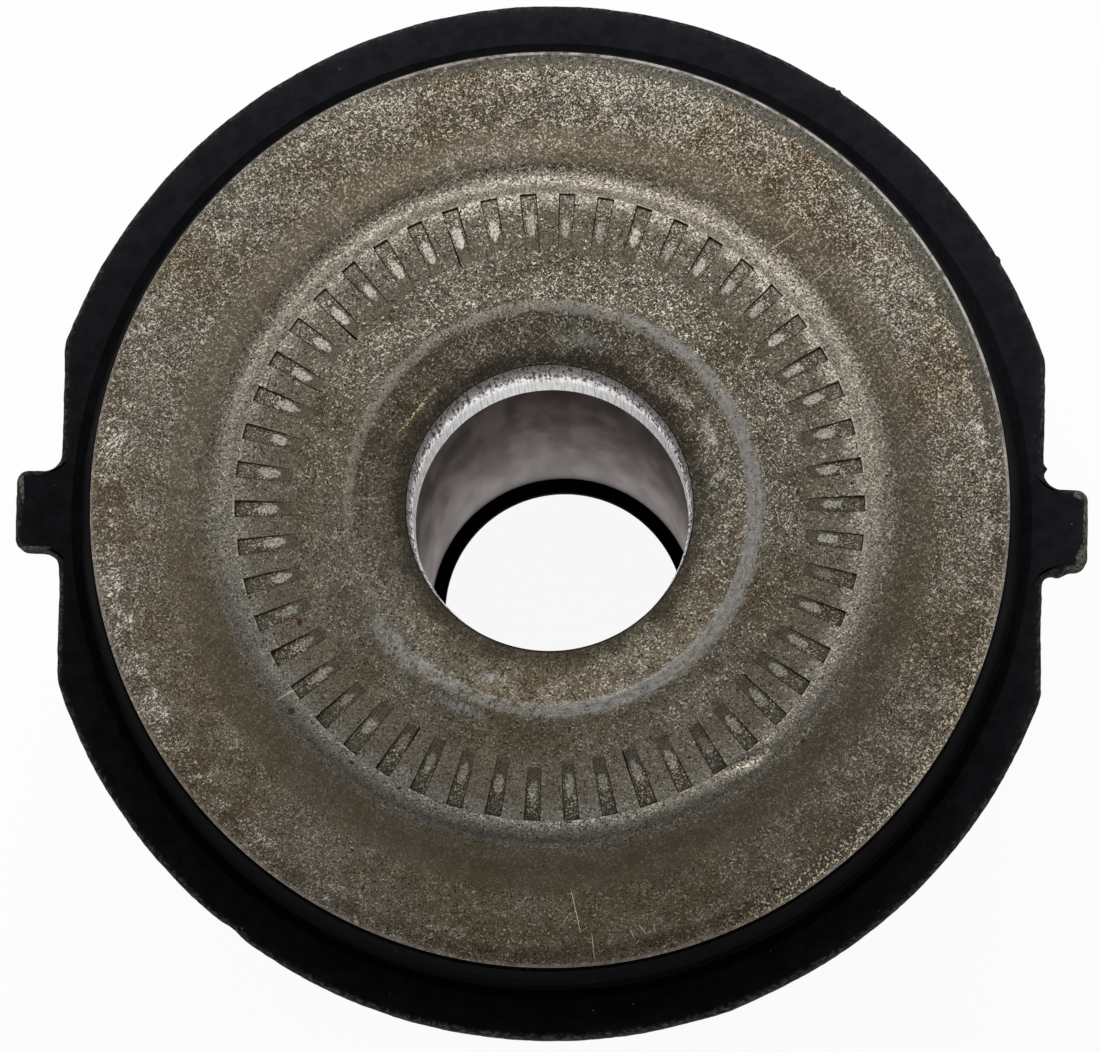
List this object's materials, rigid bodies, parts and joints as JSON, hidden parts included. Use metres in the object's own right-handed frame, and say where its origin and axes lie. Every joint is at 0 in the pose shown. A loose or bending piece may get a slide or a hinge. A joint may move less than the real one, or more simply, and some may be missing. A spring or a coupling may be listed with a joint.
{
  "type": "flanged rubber-metal bush",
  "caption": "Suspension bush: forged steel inner sleeve with a serrated flange, bonded rubber body with a stop flange and locating tabs, and a press-fit steel outer sleeve.",
  "frame": {"origin": "on the bush's axis, at its lower end", "axes": "+Z along the axis towards the serrated flange, X through the two locating tabs"},
  "size_m": [0.055, 0.0534, 0.0636],
  "materials": {
    "forged_steel": "dull phosphated forging, worn bright in places",
    "sleeve_steel": "dull drawn steel",
    "bonded_rubber": "matte moulded rubber"
  },
  "bodies": {
    "root": {"inner_sleeve": "forged_steel", "outer_sleeve": "sleeve_steel", "rubber_body": "bonded_rubber"}
  },
  "joints": []
}
